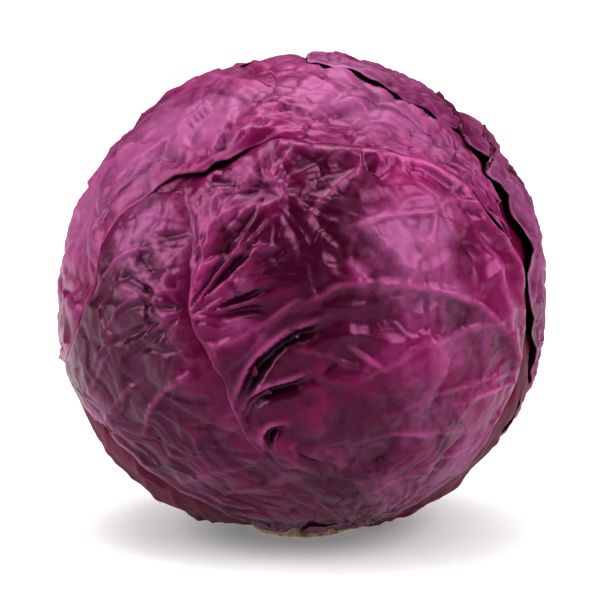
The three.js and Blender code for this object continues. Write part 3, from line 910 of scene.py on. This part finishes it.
grow = np.minimum(flare + fibre * atSide / stemLook["faceRadius"], widest)
stemPoints[:, :2] *= grow[:, None]
onFace = np.column_stack([stemPoints[:, :2], stemOut * 0])
pitted = stemLook["pit"] * (1 + softNoise(onFace / stemLook["pitSize"])) * (1 - atSide)
stemPoints[:, 2] += np.where(stemPoints[:, 2] < 0.01, pitted, 0)
fillMesh(stem, stemPoints)
bpy.ops.object.shade_smooth_by_angle(angle=math.radians(50))
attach(stem, "root")
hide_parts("stem")
print("stem done")


def linear(colour):
    parts = [int(colour[start:start + 2], 16) / 255 for start in (1, 3, 5)]
    return tuple(c / 12.92 if c <= 0.04045 else ((c + 0.055) / 1.055) ** 2.4 for c in parts) + (1.0,)


# An input takes a value or another node's output.
def addNode(tree, kind, settings=(), inputs=(), output=0):
    node = tree.nodes.new("ShaderNode" + kind)
    for key, value in dict(settings).items():
        setattr(node, key, value)
    for socket, value in dict(inputs).items():
        if isinstance(value, bpy.types.NodeSocket):
            tree.links.new(value, node.inputs[socket])
        else:
            node.inputs[socket].default_value = value
    return node.outputs[output] if node.outputs else node


smoothRange = {"interpolation_type": "SMOOTHSTEP"}
multiply, multiplyAdd = {"operation": "MULTIPLY"}, {"operation": "MULTIPLY_ADD"}
subtract, absolute = {"operation": "SUBTRACT"}, {"operation": "ABSOLUTE"}
addClamped, multiplyClamped = ({"operation": name, "use_clamp": True} for name in ("ADD", "MULTIPLY"))
colourMix = {"data_type": "RGBA"}


# Living cabbage leaf: a waxy skin over crimson flesh. The eye sees a satin sheen, and a lilac that is
# partly a thin waxy coat in drifts and partly a painted highlight on the folds' crests and lit places, with
# the deep colour between them.
leafFinishes = {
    # In each finish, fold is the near-black of the painted shade in the slots and under the edges of the
    # leaves above, and rim is the strength of the painted highlight along the margins.
    "waxyWrapperLeaf": {
        "deep": "#36001a", "flesh": "#720848", "bloomAndHighlight": "#8e587e", "vein": "#b4588f",
        "inner": "#4c0428", "fold": "#080004", "tint": "#ee98d2", "bloomMost": 0.6,
        "roughness": 0.27, "shine": 0.7, "wrinkle": 0.4, "rim": 0.28,
    },
    "smoothUnderLeaf": {
        "deep": "#3c0219", "flesh": "#680536", "bloomAndHighlight": "#5c2446", "vein": "#83255a",
        "inner": "#36041a", "fold": "#080004", "tint": "#e060b0", "bloomMost": 0.15,
        "roughness": 0.46, "shine": 0.16, "wrinkle": 0.2, "rim": 0.6,
    },
    "dryRuffledLeaf": {
        "deep": "#48082e", "flesh": "#702052", "bloomAndHighlight": "#845674", "vein": "#b0789c",
        "inner": "#430421", "fold": "#080004", "tint": "#e898cc", "bloomMost": 0.5,
        "roughness": 0.36, "shine": 0.5, "wrinkle": 0.6, "rim": 0.5,
    },
}

# The skin's patterns: size of their waves in millimetres, detail and distortion. Then what each does.
leafPatterns = {
    "cloud": (14.0, 4.0, 0.0), "mottle": (2.6, 4.0, 0.0),
    "speck": (0.7, 2.0, 0.0), "net": (6.0, 2.0, 0.6),
}
leafSkin = {
    "waxCloud": 0.5, "waxMottle": 0.7, "waxLess": -0.6,
    "toneCloud": 0.4, "toneMottle": 0.3, "toneLess": -0.35,
    "netWidth": 0.022, "netHeight": 0.12, "speckHeight": 0.12, "mottleHeight": 0.6, "depth": 0.3,
    "waxRough": 0.22, "speckRough": 0.08, "ior": 1.42,
}


def leafMaterial(name, finish):
    material = bpy.data.materials.new(name)
    material.use_nodes = True
    tree = material.node_tree
    tree.nodes.clear()
    look = leafSkin
    place = addNode(tree, "TexCoord", output="Object")
    mask, noise = {}, {}
    for key in ("tone", "bloomAndHighlight", "vein", "paintedShade", "edge", "inside"):
        mask[key] = addNode(tree, "Attribute", {"attribute_name": key}, output="Fac")
    for key, (size, detail, distortion) in leafPatterns.items():
        noise[key] = addNode(tree, "TexNoise", inputs={
            "Vector": place, "Scale": 1 / (size * mm), "Detail": detail, "Roughness": 0.55,
            "Distortion": distortion,
        })
    cloud, mottle, speck = noise["cloud"], noise["mottle"], noise["speck"]

    # The waxy coat lies in clouds and fine mottling; the lilac mask adds to it, part waxy coat and part
    # painted highlight.
    waxAndHighlight = addNode(tree, "Math", multiplyAdd, {0: cloud, 1: look["waxCloud"], 2: look["waxLess"]})
    waxAndHighlight = addNode(tree, "Math", multiplyAdd, {0: mottle, 1: look["waxMottle"], 2: waxAndHighlight})
    waxAndHighlight = addNode(tree, "Math", {"operation": "ADD"}, {0: mask["bloomAndHighlight"], 1: waxAndHighlight})
    waxAndHighlight = addNode(tree, "MapRange", smoothRange, {"Value": waxAndHighlight, "To Max": finish["bloomMost"]})
    tone = addNode(tree, "Math", multiplyAdd, {0: cloud, 1: look["toneCloud"], 2: look["toneLess"]})
    tone = addNode(tree, "Math", multiplyAdd, {0: mottle, 1: look["toneMottle"], 2: tone})
    tone = addNode(tree, "Math", addClamped, {0: mask["tone"], 1: tone})

    # Then the pale veins, the creases painted dark as painted shade, the painted highlight along the
    # margin, the inner side, and the painted shade of the slots and of the blade under the leaves above.
    broken = addNode(tree, "MapRange", smoothRange, {"Value": mottle, "From Min": 0.2, "From Max": 0.5})
    paleVein = addNode(tree, "Math", multiplyClamped, {0: mask["vein"], 1: broken})
    # Painted shade: the creases are mixed towards the deep colour.
    creaseShade = addNode(tree, "Math", multiplyClamped, {0: mask["vein"], 1: -1.0})
    # Painted highlight: the margin is mixed towards the pale vein colour.
    rim = addNode(tree, "Math", multiply, {0: mask["edge"], 1: finish["rim"]})
    # Painted shade: this mixes the colour towards the near-black fold colour in the slots and under the
    # leaves above.
    depth = addNode(tree, "MapRange", smoothRange, {"Value": mask["paintedShade"], "From Min": 0.1})
    colour = linear(finish["deep"])
    for amount, coat in ((tone, "flesh"), (waxAndHighlight, "bloomAndHighlight"), (paleVein, "vein"), (creaseShade, "deep"),
                         (rim, "vein"), (mask["inside"], "inner"), (depth, "fold")):
        colour = addNode(tree, "Mix", colourMix, {0: amount, 6: colour, 7: linear(finish[coat])}, 2)

    # The net of fine veins only raises the skin; it shows in the gloss.
    net = addNode(tree, "Math", subtract, {0: noise["net"], 1: 0.5})
    net = addNode(tree, "Math", absolute, {0: net})
    net = addNode(tree, "MapRange", smoothRange, {
        "Value": net, "From Max": look["netWidth"], "To Min": look["netHeight"], "To Max": 0.0,
    })
    height = addNode(tree, "Math", multiplyAdd, {0: speck, 1: look["speckHeight"], 2: net})
    height = addNode(tree, "Math", multiplyAdd, {0: mottle, 1: look["mottleHeight"], 2: height})
    skin = addNode(tree, "Bump", inputs={
        "Strength": finish["wrinkle"], "Distance": look["depth"] * mm, "Height": height,
    })
    rough = addNode(tree, "Math", multiplyAdd, {0: speck, 1: look["speckRough"], 2: finish["roughness"]})
    rough = addNode(tree, "Math", multiplyAdd, {0: waxAndHighlight, 1: look["waxRough"], 2: rough})
    surface = addNode(tree, "BsdfPrincipled", inputs={
        "Base Color": colour, "Roughness": rough, "Normal": skin, "IOR": look["ior"],
        "Specular IOR Level": finish["shine"], "Specular Tint": linear(finish["tint"]),
    })
    addNode(tree, "OutputMaterial", inputs={"Surface": surface})
    return material


# Sawn cabbage stem: dry fibrous flesh, so it looks matt and tan, browner where it has dried.
stemFinish = {
    "pale": "#e6cfae", "tan": "#c9a98a", "dried": "#8d6b58",
    "roughness": 0.75, "roughPatches": 0.15, "ior": 1.5,
    "fibre": 0.9, "patch": 5.0, "stretch": (1, 1, 0.25), "relief": 0.6, "depth": 0.3,  # in millimetres
}


def stemMaterial(name, finish):
    material = bpy.data.materials.new(name)
    material.use_nodes = True
    tree = material.node_tree
    tree.nodes.clear()
    place = addNode(tree, "TexCoord", output="Object")
    drawn = addNode(tree, "Mapping", inputs={"Vector": place, "Scale": finish["stretch"]})
    noise = {}
    for key, over, detail in (("fibre", drawn, 3.0), ("patch", place, 4.0)):
        scale = 1 / (finish[key] * mm)
        noise[key] = addNode(tree, "TexNoise", inputs={"Vector": over, "Scale": scale, "Detail": detail})
    colour = linear(finish["tan"])
    for key, low, high, coat in (("fibre", 0.35, 0.65, "pale"), ("patch", 0.5, 0.75, "dried")):
        amount = {"Value": noise[key], "From Min": low, "From Max": high}
        amount = addNode(tree, "MapRange", smoothRange, amount)
        colour = addNode(tree, "Mix", colourMix, {0: amount, 6: colour, 7: linear(finish[coat])}, 2)
    skin = addNode(tree, "Bump", inputs={
        "Strength": finish["relief"], "Distance": finish["depth"] * mm, "Height": noise["fibre"],
    })
    rough = {0: noise["patch"], 1: finish["roughPatches"], 2: finish["roughness"]}
    rough = addNode(tree, "Math", multiplyAdd, rough)
    surface = addNode(tree, "BsdfPrincipled", inputs={
        "Base Color": colour, "Roughness": rough, "Normal": skin, "IOR": finish["ior"],
    })
    addNode(tree, "OutputMaterial", inputs={"Surface": surface})
    return material


leafMaterials = {name: leafMaterial(name, finish) for name, finish in leafFinishes.items()}
slotFinishes = {
    "wrapper_leaf": "waxyWrapperLeaf",
    "under_leaf": "smoothUnderLeaf",
    "ruffled_leaf": "dryRuffledLeaf",
}
slots = {part["node"]: part["material_slot"] for part in frame["record"]["subparts"]}
for nodeName, piece in list(leaves.items()) + [("inner_head", innerHead)]:
    piece.data.materials.append(leafMaterials[slotFinishes[slots[nodeName]]])
stem.data.materials.append(stemMaterial("sawnFibrousStem", stemFinish))
print("materials done")


# Stage: a pale studio floor, a soft box each side, one overhead and a camera a little above the middle.
# The paper also glows by itself, a painted light, so that it is white away from the head, and where the
# glow fades under the head it is a painted shadow. Each glow is a distance from the head or along Y, where
# it starts and ends in metres, and its strength at both.
stageLook = {
    "floorSize": 40.0, "floor": "#a9a7a8", "floorRoughness": 0.9,
    "glows": [
        ("fromHead", 0.08, 0.9, 0.68, 1.2),
        # The next glow fades under the head: a painted shadow.
        ("fromHead", 0.02, 0.085, 0.35, 1.0),  # it fades under the head
        ("alongY", -0.55, -0.12, 0.2, 1.0),  # and is dimmer in front of it
        ("alongY", -1.5, -0.95, 5.0, 1.0),
    ],
    "skyStrength": 0.12, "horizonStrength": 1.25, "horizonFrom": 0.012, "horizonTo": 0.04,
    "lights": {
        "leftBox": {"at": (-1.0, -0.25, 0.60), "size": (0.60, 0.90), "power": 15.0},
        "rightBox": {"at": (0.78, -0.58, 0.70), "size": (0.60, 0.80), "power": 17.0},
        "topBox": {"at": (-0.10, 0.05, 1.05), "size": (0.9, 0.7), "power": 13.0},
    },
    "printGamma": 0.82,  # below 1 deepens the shadows
    "cameraElevation": 8.0, "cameraDistance": 0.622, "lens": 120.0, "sensor": 36.0,
    "aimShift": (-0.78, 0.0, -1.24),  # millimetres from the head's middle
}

floor = addPrimitive(bpy.ops.mesh.primitive_plane_add, "studioFloor", size=stageLook["floorSize"])
paper = bpy.data.materials.new("glowingWhitePaper")
paper.use_nodes = True
paperTree = paper.node_tree
overPaper = addNode(paperTree, "TexCoord", output="Object")
distances = {
    "fromHead": addNode(paperTree, "VectorMath", {"operation": "LENGTH"}, {0: overPaper}, "Value"),
    "alongY": addNode(paperTree, "SeparateXYZ", inputs={0: overPaper}, output="Y"),
}
glow = 1.0
for distance, start, end, first, last in stageLook["glows"]:
    shade = addNode(paperTree, "MapRange", smoothRange, {
        "Value": distances[distance], "From Min": start, "From Max": end,
        "To Min": first, "To Max": last,
    })
    glow = addNode(paperTree, "Math", multiply, {0: glow, 1: shade})
paperShader = paperTree.nodes["Principled BSDF"]
paperShader.inputs["Base Color"].default_value = linear(stageLook["floor"])
paperShader.inputs["Roughness"].default_value = stageLook["floorRoughness"]
paperShader.inputs["Emission Color"].default_value = (1, 1, 1, 1)
paperTree.links.new(glow, paperShader.inputs["Emission Strength"])
floor.data.materials.append(paper)

headMiddle = Vector((0, 0, headShape["centreHeight"] * mm))
for name, look in stageLook["lights"].items():
    light = bpy.data.lights.new(name, "AREA")
    light.shape = "RECTANGLE"
    light.size, light.size_y = look["size"]
    light.energy = look["power"]
    lamp = bpy.data.objects.new(name, light)
    lamp.location = look["at"]
    lamp.rotation_euler = (headMiddle - lamp.location).to_track_quat("-Z", "Y").to_euler()
    bpy.context.collection.objects.link(lamp)

world = bpy.data.worlds.new("studio")
world.use_nodes = True
sky = world.node_tree
upward = addNode(sky, "SeparateXYZ", inputs={0: addNode(sky, "TexCoord", output="Generated")}, output="Z")
fade = addNode(sky, "MapRange", inputs={
    "Value": upward, "From Min": stageLook["horizonFrom"], "From Max": stageLook["horizonTo"],
    "To Min": stageLook["horizonStrength"], "To Max": stageLook["skyStrength"],
})
sky.nodes["Background"].inputs["Color"].default_value = (1, 1, 1, 1)
sky.links.new(fade, sky.nodes["Background"].inputs["Strength"])
bpy.context.scene.world = world
bpy.context.scene.view_settings.view_transform = "Standard"
bpy.context.scene.view_settings.gamma = stageLook["printGamma"]

aim = headMiddle + Vector(stageLook["aimShift"]) * mm
tilt = math.radians(stageLook["cameraElevation"])
camera = bpy.data.objects.new("camera", bpy.data.cameras.new("camera"))
camera.location = aim + Vector((0, -math.cos(tilt), math.sin(tilt))) * stageLook["cameraDistance"]
camera.rotation_euler = (aim - camera.location).to_track_quat("-Z", "Y").to_euler()
camera.data.lens = stageLook["lens"]
camera.data.sensor_width = stageLook["sensor"]
bpy.context.collection.objects.link(camera)
bpy.context.scene.camera = camera
print("stage done")

bpy.context.view_layer.update()
